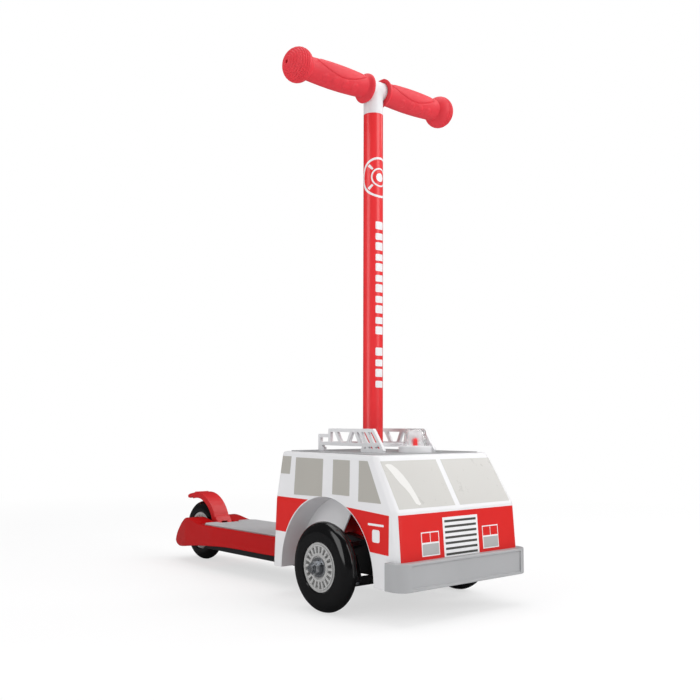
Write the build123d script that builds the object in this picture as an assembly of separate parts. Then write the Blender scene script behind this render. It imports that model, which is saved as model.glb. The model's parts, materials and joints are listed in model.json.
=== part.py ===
from build123d import *
import math
import os

os.makedirs("parts", exist_ok=True)

# A child's three-wheel lean-to-steer scooter that carries a fire-engine body.
# Millimetres, +Z up, the front faces -Y, the origin is on the ground under
# the middle of the object. "right" and "left" are the rider's: right is -X.

# ---------------------------------------------------------------- overall
overall_length = 595.0  # bumper face to the back of the rear wheel
bumper_reach = 120.0  # front axle to the bumper's face
column_top_z = 613.8  # where the red tube ends and the tee begins
running_gap = 0.05  # radial clearance of a shaft in its bore
part_gap = 0.3  # between moving faces

# ----------------------------------------------------------------- wheels
front_wheel_r = 50.8
rear_wheel_r = 45.0
tyre_width = 20.0
tyre_shoulder = 8.5
hub_rim_r = 25.4
hub_seat_r = 27.9
hub_width = 20.6
spoke_count = 20
web_thickness = 5.0
boss_r = 13.5
bearing_r = 11.0
bearing_width = 7.0
axle_r = 4.0
spacer_wall = 1.5
wheel_plane_x = 111.0  # centre plane of a front wheel
nut_height = 6.5
nut_flats = 13.0
washer_r = 8.0
washer_thickness = 1.2

front_axle_y = -overall_length / 2 + bumper_reach
rear_axle_y = overall_length / 2 - rear_wheel_r

# ------------------------------------------------------------ front truck
kingpin_x = 72.0
kingpin_lean = 20.0  # degrees, top of the pin leans back
kingpin_r = 4.0
kingpin_head_r = 6.5
kingpin_head = 2.5
barrel_r = 9.0
barrel_up = 8.5
lug_gap_half = 17.2
lug_thickness = 6.0
stub_r = 8.0
stub_socket = 15.0  # length of axle held in the knuckle
arm_length = 26.0
arm_thickness = 6.0
arm_width = 11.0
link_pin_r = 3.0
link_open_gap = 0.25  # radial play at the pivot where the loop is open
rod_thickness = 5.0
rod_width = 10.0
truck_half_width = 55.0
truck_drop = 13.8  # underside below the front axle
truck_front = -44.0  # from the front axle
truck_back = 58.0
coil_wire = 1.4
coil_turns = 4

# ------------------------------------------------------------------- deck
deck_half_width = 52.0
deck_top_z = 62.0
deck_front_z = 38.0
deck_skin = 5.0
deck_rim = 5.0
deck_taper_from = 98.0  # ahead of the rear axle, where the sides pull in
ear_half_width = 35.0
ear_top_z = 67.5
ear_bottom_z = 24.0
ear_reach = 32.0  # behind the rear axle
slot_half_width = 16.0
slot_reach = 61.5  # slot front, ahead of the rear axle
nose_half_width = 42.0
nose_top_z = 112.0
boss_wall = 6.0
boss_top_z = 126.0
mat_thickness = 3.2
mat_sink = 1.6
mat_rim = 6.0
mat_groove_pitch = 12.0
mat_groove_width = 5.0
mat_groove_depth = 0.7
pan_bottom_z = 28.0
pan_wall = 4.0
pan_gap = 0.3
pan_screw_r = 2.0
pan_screw_head_r = 3.6
pan_post_r = 5.5

# ------------------------------------------------------------ rear brake
brake_pivot_ahead = 53.6  # ahead of the rear axle
brake_pivot_z = 55.5
brake_barrel_r = 6.0
brake_pin_r = 3.0
brake_half_width = 13.2
brake_thickness = 4.0
brake_tyre_gap = 6.0
brake_lift = 3.8
brake_set_back = 5.0  # arch centre behind the rear axle
brake_flange = 5.0
brake_flange_wall = 2.0
brake_coil_half = 5.0

# ----------------------------------------------------------------- column
column_r = 12.7
column_wall = 1.5
column_behind = 40.0  # column axis behind the front axle
column_bottom_z = 52.0
bar_r = 9.5
bar_wall = 1.5
bar_half_length = 126.0
bar_rise = 34.2  # bar axis above the end of the tube
tee_spigot = 40.0
tee_half_width = 15.0
cross_bolt_r = 3.0
grip_inner_x = 12.5
grip_start = 14.0
grip_ball_x = 124.8
grip_ball_r = 22.0
grip_ball_half = 17.8  # half length of the ball along the bar
grip_body_r = 16.0
grip_neck_r = 14.4
grip_collar_r = 19.0
grip_end_hole_r = 2.6

# ------------------------------------------------------------------ shell
shell_wall = 2.5
shell_bottom_z = 35.0
waist_z = 118.0
roof_z = 178.0
shell_front_low = 112.0  # ahead of the front axle
shell_front_waist = 105.0
shell_front_roof = 68.0
shell_rear_low = 131.5  # behind the front axle
shell_rear_waist = 127.0
shell_rear_roof = 123.3
half_front_low = 101.0
half_front_waist = 101.0
half_front_roof = 96.0
half_rear_low = 89.0
half_rear_waist = 89.0
half_rear_roof = 81.6
shell_corner_r = 8.0
roof_edge_r = 4.0
arch_r = 89.0
arch_behind = 21.0
arch_z = 38.0
liner_inner_x = 57.0
cheek_bottom_z = 80.0
notch_gap = 4.0
column_hole_gap = 1.2
roof_panel_thickness = 1.0
roof_panel_inset = 7.0

# ----------------------------------------------------------------- bumper
bumper_half_width = 107.5
bumper_bottom_z = 36.0
bumper_top_z = 66.0
bumper_depth = 25.6
bumper_corner_r = 16.0
bumper_rim = 3.0
bumper_dish = 1.6

# ----------------------------------------------------------- roof pieces
ladder_x = 43.0
ladder_bar = 4.3
ladder_top_z = 207.0
ladder_low_z = 190.0
ladder_step_z = 200.0
ladder_front = -8.0  # behind the front axle, as are the next three
ladder_rail_back = 72.0
ladder_step_back = 94.0
ladder_foot_front = -25.0
beacon_behind = -35.0
beacon_base_r = 20.0
beacon_base_h = 8.0
dome_low_r = 15.5
dome_top_r = 12.5
dome_height = 20.5
dome_wall = 1.4
lamp_r = 3.0
lamp_height = 10.0
board_r = 13.0
board_thickness = 1.6
battery_half_x = 29.0
battery_length = 34.0
battery_height = 19.0
battery_wall = 1.8
cell_r = 7.0
cell_length = 50.0
battery_behind = 84.0
switch_travel = 4.0
switch_knob = 6.0

column_y = front_axle_y + column_behind
bar_z = column_top_z + bar_rise
panel_top_z = roof_z + roof_panel_thickness
brake_y = rear_axle_y - brake_pivot_ahead
truck_bottom_z = front_wheel_r - truck_drop


def at_front(y):
    """Y of a place that is y behind the front axle."""
    return front_axle_y + y


def at_rear(y):
    """Y of a place that is y behind the rear axle."""
    return rear_axle_y + y


def rod_x(radius, length, x, y, z):
    """Round bar along X, centred on x, y, z."""
    return Pos(x, y, z) * Rot(0, 90, 0) * Cylinder(radius, length)


def span_x(radius, x0, x1, y, z):
    """Round bar along X from x0 to x1."""
    return rod_x(radius, abs(x1 - x0), (x0 + x1) / 2, y, z)


def side_prism(points, half_width):
    """Outline in Y and Z, pushed out to both sides of the centre plane."""
    return extrude(Plane.YZ * Polygon(*points, align=None), half_width, both=True)


def block(x0, x1, y0, y1, z0, z1):
    """Box between two corners."""
    size = (x1 - x0, y1 - y0, z1 - z0)
    return Pos((x0 + x1) / 2, (y0 + y1) / 2, (z0 + z1) / 2) * Box(*size)


def ring(outer, inner, length):
    """Tube along local Z."""
    return Cylinder(outer, length) - Cylinder(inner, length + 1)


def coil(radius, wire, turns, length):
    """Close-wound spring along local Z that starts at z = 0."""
    path = Helix(pitch=(length - wire) / turns, height=length - wire, radius=radius)
    start = Plane(origin=path @ 0, z_dir=path % 0)
    return Pos(0, 0, wire / 2) * sweep(start * Circle(wire / 2), path=path, is_frenet=True)


def kingpin_frame(side):
    """Local frame of a kingpin: z up the pin, y back along the steering arm."""
    place = Pos(side * kingpin_x, front_axle_y, front_wheel_r)
    return place * Rot(-kingpin_lean, 0, 0)


def solids_of(items):
    """Loose solids of one node."""
    return Compound(children=[solid for item in items for solid in item.solids()])


def save(shape, name):
    shape.label = name
    export_step(shape, f"parts/{name}.step")


# ================================================================= wheels
def tyre(radius):
    """Cast tyre on the hub's seat, round in the shoulders."""
    body = Cylinder(radius, tyre_width)
    body = fillet(body.edges(), tyre_shoulder)
    return body - Cylinder(hub_seat_r, tyre_width + 1)


def hub():
    """Moulded hub: seat ring, spoked web, boss with two bearing pockets."""
    body = ring(hub_seat_r, hub_rim_r - 4.0, tyre_width)
    lip = ring(hub_rim_r, hub_rim_r - 4.0, hub_width)
    web = Cylinder(hub_rim_r - 3.0, web_thickness)
    boss = Cylinder(boss_r, hub_width)
    spoke_root = boss_r - 1.0
    spoke_tip = hub_rim_r - 3.5
    spoke = Pos((spoke_root + spoke_tip) / 2, 0, 0)
    spoke *= Box(spoke_tip - spoke_root, 1.8, hub_width - 2.0)
    spokes = [Rot(0, 0, i * 360 / spoke_count) * spoke for i in range(spoke_count)]
    body = body + lip + web + boss + spokes
    pocket = Cylinder(bearing_r, bearing_width)
    lift = (hub_width - bearing_width) / 2
    bore = Cylinder(axle_r + spacer_wall + 1.0, hub_width + 1)
    return body - Pos(0, 0, lift) * pocket - Pos(0, 0, -lift) * pocket - bore


def bearings():
    """Two ball bearings, each with its shields closed."""
    one = ring(bearing_r, axle_r + running_gap, bearing_width)
    lift = (hub_width - bearing_width) / 2
    return [Pos(0, 0, lift) * one, Pos(0, 0, -lift) * one]


def spacer():
    """Tube that keeps the two inner races apart."""
    length = hub_width - 2 * bearing_width
    return ring(axle_r + spacer_wall, axle_r + running_gap, length)


def nut(bore):
    """Lock nut along local Z from z = 0, with its washer under it."""
    washer = Pos(0, 0, washer_thickness / 2) * ring(washer_r, bore, washer_thickness)
    body = extrude(RegularPolygon(nut_flats / 2, 6, major_radius=False), nut_height)
    collar = Pos(0, 0, nut_height) * Cylinder(nut_flats / 2 - 1.2, 3.0)
    body = body + collar - Cylinder(bore, 4 * nut_height)
    return [washer, Pos(0, 0, washer_thickness) * body]


def save_wheel(name, radius, place):
    save(place * tyre(radius), f"{name}_tyre")
    save(place * hub(), f"{name}_hub")
    save(solids_of([place * b for b in bearings()]), f"{name}_bearings")
    save(place * spacer(), f"{name}_spacer")


def front_wheel(side, word):
    """One front wheel with its stub axle and lock nut."""
    place = Pos(side * wheel_plane_x, front_axle_y, front_wheel_r) * Rot(0, side * 90, 0)
    save_wheel(f"front_{word}", front_wheel_r, place)
    seat = hub_width / 2 + part_gap
    stub_end = hub_width / 2 + part_gap
    inner = -stub_end - stub_socket
    outer = seat + washer_thickness + nut_height + 4.0
    axle = Pos(0, 0, (inner + outer) / 2) * Cylinder(axle_r, outer - inner)
    save(place * axle, f"front_{word}_axle")
    save(solids_of([place * Pos(0, 0, seat) * n for n in nut(axle_r)]), f"front_{word}_nut")


# ============================================================ front truck
def lug_pair(side):
    """Two ears that hold one kingpin above and below the knuckle."""
    frame = kingpin_frame(side)
    root = -side * (kingpin_x - truck_half_width + 12.0)
    lift = lug_gap_half + lug_thickness / 2
    ears = []
    for up in (-1, 1):
        tip = Pos(0, 0, up * lift) * Cylinder(barrel_r + 1.0, lug_thickness)
        arm = Pos(root / 2, 0, up * lift) * Box(abs(root), 2 * barrel_r, lug_thickness)
        ears += [frame * tip, frame * arm]
    return ears


def truck_housing(deck_body):
    """Black carriage under the nose that carries both kingpins."""
    outline = [
        (at_front(truck_front), truck_bottom_z),
        (at_front(truck_back), truck_bottom_z),
        (at_front(truck_back - 12), deck_top_z),
        (at_front(34), 82),
        (at_front(-8), 76),
        (at_front(-36), 56),
    ]
    core = side_prism(outline, truck_half_width)
    core = fillet(core.edges().filter_by(Axis.X).sort_by(Axis.Z)[-4:], 4)
    hollow_x = truck_half_width - pan_wall
    hollow = block(
        -hollow_x, hollow_x, at_front(truck_front + 6), at_front(24), truck_bottom_z - 1,
        truck_bottom_z + 13,
    )
    hollow -= block(-6, 6, at_front(-60), at_front(60), 0, 60)
    body = core - hollow
    for side in (-1, 1):
        for ear in lug_pair(side):
            body += ear
        body -= kingpin_frame(side) * Cylinder(kingpin_r, 90)
    body -= column_space(0.1)
    return body - deck_body


def column_space(gap):
    """Room for the column, from its foot upwards."""
    height = column_top_z - column_bottom_z
    place = Pos(0, column_y, column_bottom_z + height / 2)
    return place * Cylinder(column_r + gap, height)


def kingpin(side):
    length = 2 * (lug_gap_half + lug_thickness) + 2 * kingpin_head
    pin = Cylinder(kingpin_r, length)
    head_z = lug_gap_half + lug_thickness + kingpin_head / 2
    head = Pos(0, 0, head_z) * Cylinder(kingpin_head_r, kingpin_head)
    clip = Pos(0, 0, -head_z) * Cylinder(kingpin_head_r - 1.0, kingpin_head)
    return kingpin_frame(side) * (pin + head + clip)


def knuckle(side, link_gap):
    """Barrel on the kingpin, stub for the axle and arm to the tie rod."""
    low = -(lug_gap_half - part_gap)
    barrel = Pos(0, 0, (low + barrel_up) / 2) * Cylinder(barrel_r, barrel_up - low)
    arm_z = low + arm_thickness / 2
    arm = Pos(0, arm_length / 2, arm_z) * Box(arm_width, arm_length, arm_thickness)
    eye = Pos(0, arm_length, arm_z) * Cylinder(arm_width / 2, arm_thickness)
    gusset = Pos(0, arm_length / 3, low + arm_thickness) * Box(3.0, arm_length / 2, 8.0)
    body = barrel + arm + eye + gusset
    body -= Pos(0, arm_length, arm_z) * Cylinder(link_pin_r + link_gap, arm_thickness + 1)
    body = kingpin_frame(side) * body
    stub_end = wheel_plane_x - hub_width / 2 - part_gap
    stub = span_x(stub_r, side * kingpin_x, side * stub_end, front_axle_y, front_wheel_r)
    collar_from = side * (kingpin_x + 12)
    collar_to = side * (stub_end - 4)
    collar = span_x(stub_r + 2.5, collar_from, collar_to, front_axle_y, front_wheel_r)
    body = body + stub + collar
    socket = span_x(
        axle_r, side * (stub_end - stub_socket), side * (stub_end + 1), front_axle_y, front_wheel_r
    )
    bore = kingpin_frame(side) * Cylinder(kingpin_r + running_gap, 90)
    return body - socket - bore


def centring_spring(side):
    """Coil round the kingpin that turns the knuckle back to straight ahead."""
    length = lug_gap_half - barrel_up - 2 * part_gap
    wound = coil(kingpin_r + 2.2, coil_wire, coil_turns, length)
    return kingpin_frame(side) * Pos(0, 0, barrel_up + part_gap) * wound


def rod_level():
    """Height of the tie rod's middle along the kingpin."""
    return -(lug_gap_half - part_gap) - part_gap - rod_thickness / 2


def tie_rod():
    """Flat link between the two steering arms."""
    middle = Pos(0, front_axle_y, front_wheel_r) * Rot(-kingpin_lean, 0, 0)
    place = Pos(0, arm_length, rod_level())
    body = place * Box(2 * kingpin_x, rod_width, rod_thickness)
    for side in (-1, 1):
        eye = Pos(side * kingpin_x, arm_length, rod_level())
        body += eye * Cylinder(rod_width / 2 + 1.5, rod_thickness)
        body -= eye * Cylinder(link_pin_r, rod_thickness + 1)
    rib = Pos(0, arm_length, rod_level() - rod_thickness / 2 - 1.0)
    body += rib * Box(1.6 * kingpin_x, 3.0, 2.0)
    return middle * body


def link_pin(side):
    """Rivet through the tie rod and one steering arm."""
    low = rod_level() - rod_thickness / 2
    high = -(lug_gap_half - part_gap) + arm_thickness
    pin = Pos(0, 0, (low + high) / 2) * Cylinder(link_pin_r, high - low + 2.0)
    foot = Pos(0, 0, low - 0.75) * Cylinder(link_pin_r + 1.8, 1.5)
    cap = Pos(0, 0, high + part_gap + 0.75) * Cylinder(link_pin_r + 1.8, 1.5)
    return kingpin_frame(side) * Pos(0, arm_length, 0) * (pin + foot + cap)


# =================================================================== deck
def deck_plan():
    """Plan outline of the board: straight sides, pulled in round the wheel."""
    half = [
        (deck_half_width, at_front(truck_back + 6)),
        (deck_half_width, at_rear(-deck_taper_from)),
        (ear_half_width + 9, at_rear(-12)),
        (ear_half_width, at_rear(ear_reach)),
    ]
    mirrored = [(-x, y) for x, y in reversed(half)]
    plan = Polygon(*half, *mirrored, align=None)
    bends = plan.vertices().filter_by(lambda v: at_rear(-deck_taper_from - 1) < v.Y < at_rear(0))
    return fillet(bends, 38)


def deck_side():
    """Side outline of the board with the ears that flank the rear wheel."""
    front = at_front(truck_back + 6)
    top = Spline(
        (at_rear(-84), deck_top_z),
        (at_rear(-52), deck_top_z + 0.6),
        (at_rear(-12), ear_top_z),
        (at_rear(15), deck_top_z - 10),
        (at_rear(ear_reach), ear_bottom_z + 5),
        tangents=[(1, 0), (0.25, -1)],
    )
    under = Spline(
        (at_rear(ear_reach), ear_bottom_z + 5),
        (at_rear(-10), ear_bottom_z),
        (at_rear(-98), 33.5),
        (front, deck_front_z),
        tangents=[(-0.6, -1), (-1, 0.02)],
    )
    close_front = Line((front, deck_front_z), (front, deck_top_z))
    flat = Line((front, deck_top_z), (at_rear(-84), deck_top_z))
    return Plane.YZ * make_face(Curve() + [top, under, close_front, flat])


def deck_blank():
    """The board and nose before any hollow is cut."""
    board = extrude(deck_plan(), 200) & extrude(deck_side(), 100, both=True)
    outline = [
        (at_front(110), deck_front_z + 8),
        (at_front(110), deck_top_z),
        (at_front(72), deck_top_z),
        (at_front(54), 78),
        (at_front(46), 100),
        (at_front(34), nose_top_z - 2),
        (at_front(8), nose_top_z),
        (at_front(-18), nose_top_z - 8),
        (at_front(-40), 84),
        (at_front(-50), 60),
        (at_front(-50), 43),
        (at_front(-37), 43),
        (at_front(37), 80),
        (at_front(46), 64),
        (at_front(62), deck_front_z + 8),
    ]
    nose = side_prism(outline, nose_half_width)
    nose = fillet(nose.edges().group_by(Axis.Y)[0], 5)
    boss_height = boss_top_z - deck_top_z
    boss = Pos(0, column_y, deck_top_z + boss_height / 2)
    return board + nose + boss * Cylinder(column_r + boss_wall, boss_height)


def mat_plan(shrink):
    """Plan outline of the grip mat, notched for the brake at its back."""
    side = deck_half_width - mat_rim - shrink
    front = at_front(shell_rear_low + 4) + shrink
    back = at_rear(-slot_reach) - shrink
    notch_side = brake_half_width + 6 + shrink
    notch = back - 14
    plan = Polygon(
        (-side, front), (side, front), (side, back - 10), (side - 8, back),
        (notch_side, back), (notch_side, notch), (-notch_side, notch), (-notch_side, back),
        (8 - side, back), (-side, back - 10), align=None,
    )
    return fillet(plan.vertices(), 3)


def screw_places():
    """Where the pan is screwed to the board."""
    rows = [at_front(80), at_front(170), at_rear(-130)]
    return [(side * 34, y) for y in rows for side in (-1, 1)]


def deck():
    body = deck_blank()
    front = at_front(truck_back + 6)
    inner = deck_half_width - deck_rim
    roof = deck_top_z - deck_skin
    body -= block(-inner, inner, front - 1, at_rear(-slot_reach - 12), 0, roof)
    body -= block(
        -slot_half_width, slot_half_width, at_rear(-slot_reach), at_rear(90), 0, 200
    )
    pocket = extrude(Pos(0, 0, deck_top_z - mat_sink) * mat_plan(0), 10)
    body -= pocket
    body -= column_space(running_gap)
    body -= rod_x(cross_bolt_r, 200, 0, column_y, boss_top_z - 8)
    slot_x = axle_half_length() + 0.5
    for side in (-1, 1):
        lo = min(side * slot_half_width, side * slot_x) - 0.01
        hi = max(side * slot_half_width, side * slot_x) + 0.01
        body -= block(lo, hi, at_rear(-axle_r), at_rear(axle_r), 0, rear_wheel_r)
    body -= rod_x(axle_r, 2 * slot_x, 0, rear_axle_y, rear_wheel_r)
    body -= rod_x(brake_pin_r, 2 * brake_pin_half(), 0, brake_y, brake_pivot_z)
    for x, y in screw_places():
        body -= Pos(x, y, roof) * Cylinder(pan_screw_r, 7)
    return body


def axle_half_length():
    """Half the length of the rear axle, hidden in the ears."""
    return slot_half_width + 13.0


def brake_pin_half():
    return slot_half_width + 8.0


def grip_mat():
    """Rubber mat with closed cross grooves in its flat top."""
    floor = deck_top_z - mat_sink
    body = extrude(Pos(0, 0, floor) * mat_plan(0), mat_thickness)
    top = floor + mat_thickness
    start = at_front(shell_rear_low + 16)
    stop = at_rear(-slot_reach - 24)
    count = int((stop - start) / mat_groove_pitch)
    length = 2 * (deck_half_width - mat_rim - 5)
    for i in range(count + 1):
        place = Pos(0, start + i * mat_groove_pitch, top)
        body -= place * Box(length, mat_groove_width, 2 * mat_groove_depth)
    return body


def floor_pan():
    """Black pan under the board, with screw posts."""
    front = at_front(truck_back)
    back = at_rear(-slot_reach - 12) - pan_gap
    outer = deck_half_width - deck_rim - pan_gap
    top = deck_top_z - deck_skin
    body = block(-outer, outer, front, back, pan_bottom_z, top - 1.0)
    inside = outer - pan_wall
    body -= block(-inside, inside, front + pan_wall, back - pan_wall, pan_bottom_z + 4, top)
    for x, y in screw_places():
        height = top - pan_bottom_z
        post = Pos(x, y, pan_bottom_z + height / 2)
        body += post * Cylinder(pan_post_r, height)
    keel = Pos(0, (front + back) / 2, pan_bottom_z + 10)
    body += keel * Box(4.0, back - front - 4, 16.0)
    return body - nose_room() - pan_screws()


def nose_room():
    """Clear space under the nose, so the pan does not foul it."""
    return block(-60, 60, at_front(40), at_front(111), deck_front_z + 7.7, 90)


def pan_screws():
    """Six screws up through the pan into the board, heads sunk in the pan."""
    screws = []
    top = deck_top_z - deck_skin + 3.0
    for x, y in screw_places():
        height = top - pan_bottom_z - 0.5
        shank = Pos(x, y, top - height / 2) * Cylinder(pan_screw_r, height)
        head = Pos(x, y, pan_bottom_z + 1.5) * Cylinder(pan_screw_head_r, 2.0)
        screws.append(shank + head)
    return solids_of(screws)


# ============================================================= rear wheel
def rear_wheel():
    place = Pos(0, rear_axle_y, rear_wheel_r) * Rot(0, 90, 0)
    save_wheel("rear", rear_wheel_r, place)
    axle = rod_x(axle_r, 2 * axle_half_length(), 0, rear_axle_y, rear_wheel_r)
    save(axle, "rear_axle")
    keepers = []
    for side in (-1, 1):
        x0 = side * slot_half_width
        x1 = side * (axle_half_length() + 0.5)
        keeper = block(
            min(x0, x1), max(x0, x1), at_rear(-axle_r), at_rear(axle_r),
            ear_bottom_z + 2, rear_wheel_r,
        )
        keepers.append(keeper - rod_x(axle_r, 200, 0, rear_axle_y, rear_wheel_r))
    save(solids_of(keepers), "rear_axle_keepers")
    spacers = []
    for side in (-1, 1):
        x0 = side * (hub_width / 2 + part_gap)
        x1 = side * (slot_half_width - 0.02)
        tube = span_x(axle_r + spacer_wall, x0, x1, rear_axle_y, rear_wheel_r)
        spacers.append(tube - rod_x(axle_r, 200, 0, rear_axle_y, rear_wheel_r))
    save(solids_of(spacers), "rear_side_spacers")


# ================================================================== brake
def brake_fender():
    """Curved guard over the rear wheel that is stepped on to brake."""
    inner = rear_wheel_r + brake_tyre_gap
    outer = inner + brake_thickness
    centre_y = at_rear(brake_set_back)
    centre_z = rear_wheel_r + brake_lift
    arch = Pos(0, centre_y, centre_z) * Rot(0, 90, 0)
    width = 2 * brake_half_width
    strip = arch * ring(outer, inner, width)
    flange = arch * ring(inner + 0.5, inner - brake_flange, width)
    clear_x = brake_half_width - brake_flange_wall
    flange -= block(-clear_x, clear_x, at_rear(-200), at_rear(200), 0, 200)
    guard = strip + flange
    keep = [
        (centre_y, centre_z),
        (centre_y - 200, centre_z + 18),
        (centre_y - 200, centre_z + 200),
        (centre_y + 60, centre_z + 200),
    ]
    guard &= side_prism(keep, 50)
    lip_z = centre_z + inner
    lip = [
        (centre_y + 8, lip_z - 0.8),
        (centre_y + 22, lip_z - 6.5),
        (centre_y + 28, lip_z - 6.0),
        (centre_y + 29, lip_z - 2.0),
        (centre_y + 23, lip_z + 0.6),
        (centre_y + 8, lip_z + brake_thickness - 0.4),
    ]
    guard += side_prism(lip, brake_half_width)
    foot = [
        (brake_y - 5.6, brake_pivot_z + 1),
        (centre_y - outer + 2, centre_z + 22),
        (centre_y - inner + 3, centre_z + 21),
        (brake_y + 5.6, brake_pivot_z + 1),
    ]
    guard += side_prism(foot, brake_half_width)
    guard += rod_x(brake_barrel_r, width, 0, brake_y, brake_pivot_z)
    gap = brake_coil_half
    guard -= rod_x(brake_barrel_r + 1.5, 2 * gap, 0, brake_y, brake_pivot_z)
    guard -= rod_x(brake_pin_r + running_gap, 200, 0, brake_y, brake_pivot_z)
    tyre_room = rod_x(rear_wheel_r + 3.5, 2 * (tyre_width / 2 + 2.0), 0, rear_axle_y, rear_wheel_r)
    return guard - tyre_room


def brake_spring():
    """Coil on the brake pin that lifts the guard off the tyre."""
    length = 2 * (brake_coil_half - 0.6)
    wound = coil(brake_pin_r + 1.3, coil_wire, 5, length)
    return Pos(-length / 2, brake_y, brake_pivot_z) * Rot(0, 90, 0) * wound


# ================================================================= column
def column():
    tube_height = column_top_z - column_bottom_z
    place = Pos(0, column_y, column_bottom_z + tube_height / 2)
    tube = place * ring(column_r, column_r - column_wall, tube_height)
    tube -= rod_x(cross_bolt_r, 200, 0, column_y, boss_top_z - 8)
    save(tube, "column_tube")
    bolt_z = boss_top_z - 8
    reach = column_r + boss_wall
    shank = span_x(cross_bolt_r, -reach - 0.5, reach + 6, column_y, bolt_z)
    head = span_x(cross_bolt_r + 2.2, -reach - 4, -reach, column_y, bolt_z)
    save(shank + head, "column_bolt")
    hexagon = extrude(RegularPolygon(5, 6, major_radius=False), 5) - Cylinder(cross_bolt_r, 20)
    save(Pos(reach, column_y, bolt_z) * Rot(0, 90, 0) * hexagon, "column_nut")


def handlebar():
    """Tee on the column, the bar through it and the two grips."""
    stem = Pos(0, column_y, column_top_z + bar_rise / 2) * Cylinder(column_r, bar_rise)
    sleeve = rod_x(column_r, 2 * tee_half_width, 0, column_y, bar_z)
    spigot = Pos(0, column_y, column_top_z - tee_spigot / 2)
    spigot *= Cylinder(column_r - column_wall - 0.05, tee_spigot)
    tee = stem + sleeve + spigot - rod_x(bar_r, 200, 0, column_y, bar_z)
    save(tee, "handlebar_tee")
    bar = Pos(0, column_y, bar_z) * Rot(0, 90, 0) * ring(bar_r, bar_r - bar_wall, 2 * bar_half_length)
    save(bar, "handlebar_tube")
    for side, word in ((-1, "right"), (1, "left")):
        save(grip(side), f"grip_{word}")


def grip(side):
    """Soft grip: scalloped collar, palm swell and a ball at the end."""
    neck_turn = math.pi - math.asin(grip_neck_r / grip_ball_r)
    ball = []
    for i in range(9):
        turn = neck_turn * (8 - i) / 8
        ball.append((grip_ball_x + grip_ball_half * math.cos(turn), grip_ball_r * math.sin(turn)))
    neck_x = ball[0][0]
    end_x = grip_ball_x + grip_ball_half
    profile = [
        Line((grip_inner_x, 0), (grip_inner_x, grip_collar_r)),
        Line((grip_inner_x, grip_collar_r), (grip_start + 4, grip_collar_r - 0.6)),
        Spline(
            (grip_start + 4, grip_collar_r - 0.6),
            (grip_start + 14, grip_neck_r + 0.2),
            (grip_start + 46, grip_body_r),
            (neck_x, grip_neck_r),
            tangents=[(0.5, -1), (1, -0.1)],
        ),
        Spline(*ball[:-1], (end_x, 0), tangents=[(0.6, 1), (0, -1)]),
        Line((end_x, 0), (grip_inner_x, 0)),
    ]
    face = make_face(Curve() + profile)
    body = revolve(face, Axis.X)
    if side < 0:
        body = mirror(body, Plane.YZ)
    body = Pos(0, column_y, bar_z) * body
    body -= Pos(0, column_y, bar_z) * Cylinder(column_r + 1.3, 100)
    body -= rod_x(column_r + 0.1, 2 * tee_half_width, 0, column_y, bar_z)
    body -= rod_x(bar_r, 2 * bar_half_length, 0, column_y, bar_z)
    hole_x = side * (grip_ball_x + grip_ball_half)
    return body - rod_x(grip_end_hole_r, 24, hole_x, column_y, bar_z)


# ================================================================== shell
def shell_section(z, front, rear, half_front, half_rear, inset):
    """Plan section of the body at one height, drawn in by inset."""
    y0 = at_front(-front) + inset
    y1 = at_front(rear) - inset
    a = half_front - inset
    b = half_rear - inset
    plan = Polygon((-a, y0), (a, y0), (b, y1), (-b, y1), align=None)
    plan = fillet(plan.vertices(), shell_corner_r - inset)
    return (Pos(0, 0, z) * plan).faces()[0]


def shell_volume(inset, low):
    """Whole body as a solid, from low up to the roof."""
    sections = [
        shell_section(low, shell_front_low, shell_rear_low, half_front_low, half_rear_low, inset),
        shell_section(
            waist_z, shell_front_waist, shell_rear_waist, half_front_waist, half_rear_waist, inset
        ),
        shell_section(
            roof_z - inset, shell_front_roof, shell_rear_roof, half_front_roof, half_rear_roof, inset
        ),
    ]
    return loft(sections, ruled=True)


def arch_space(radius):
    """Wheel arch on both sides, down through the bottom edge."""
    y = at_front(arch_behind)
    tunnel = rod_x(radius, 400, 0, y, arch_z)
    return tunnel + block(-200, 200, y - radius, y + radius, 0, arch_z)


def well_cheeks():
    """Inner wall of both wheel wells, open ahead where the nose comes through."""
    disc = rod_x(arch_r + 0.5, 400, 0, at_front(arch_behind), arch_z)
    top = arch_z + arch_r + shell_wall
    outline = [
        (at_front(29.6), cheek_bottom_z),
        (at_front(1.5), top),
        (at_front(arch_behind + arch_r + shell_wall), top),
        (at_front(arch_behind + arch_r + shell_wall), cheek_bottom_z),
    ]
    both = side_prism(outline, liner_inner_x + shell_wall)
    both -= block(-liner_inner_x, liner_inner_x, -500, 500, 0, 300)
    return both & disc


def body_shell():
    """Thin moulded fire-engine body with wheel arches."""
    outer = shell_volume(0, shell_bottom_z)
    top = outer.faces().sort_by(Axis.Z)[-1]
    outer = fillet(top.edges(), roof_edge_r)
    inner = shell_volume(shell_wall, shell_bottom_z)
    body = outer - inner
    liner = arch_space(arch_r + shell_wall) & outer
    liner -= block(-liner_inner_x, liner_inner_x, -500, 500, 0, 300)
    body += liner
    body -= arch_space(arch_r)
    body += well_cheeks()
    body -= Pos(0, column_y, roof_z) * Cylinder(column_r + column_hole_gap, 20)
    notch = deck_half_width + notch_gap
    body -= block(
        -notch, notch, at_front(60), at_front(shell_rear_low + 5), 0, deck_top_z + notch_gap
    )
    return body


def roof_panel():
    """Thin grey panel let on to the roof, with a hole for the column."""
    front = shell_front_roof - roof_panel_inset
    rear = shell_rear_roof - roof_panel_inset
    plan = shell_section(
        roof_z, front, rear, half_front_roof - roof_panel_inset, half_rear_roof - roof_panel_inset, 0
    )
    body = extrude(plan, roof_panel_thickness)
    return body - Pos(0, column_y, roof_z) * Cylinder(column_r + column_hole_gap, 20)


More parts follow.
